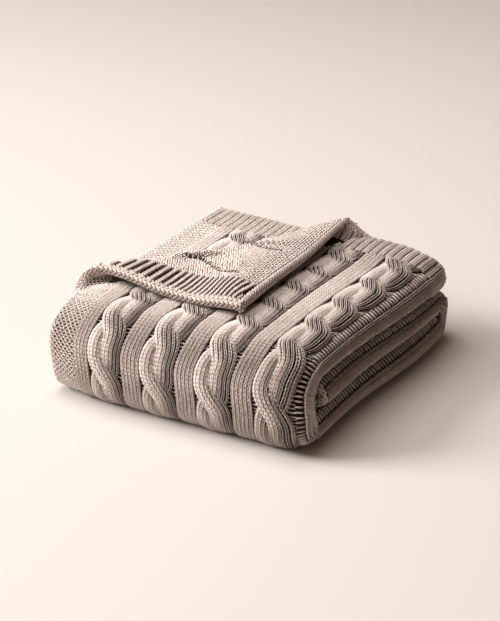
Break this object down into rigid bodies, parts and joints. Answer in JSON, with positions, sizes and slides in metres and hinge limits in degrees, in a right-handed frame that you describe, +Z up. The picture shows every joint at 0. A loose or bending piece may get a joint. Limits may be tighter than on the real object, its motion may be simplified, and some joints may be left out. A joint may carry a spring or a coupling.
{
  "type": "chunky knit blanket",
  "caption": "Cable-knit throw folded into a soft stack, with ribbed end hems, moss-stitch side borders and one corner turned over on top.",
  "frame": {"origin": "on the floor plane, under the middle of the folded blanket", "axes": "+X towards the rounded lengthwise fold, +Y towards the back, +Z up, with the wide rounded turn of the stack at -Y"},
  "size_m": [0.464, 0.5464, 0.1867],
  "materials": {
    "yarn": "heathered knitted yarn, matt"
  },
  "bodies": {
    "root": {"knit_blanket": "yarn"}
  },
  "joints": []
}
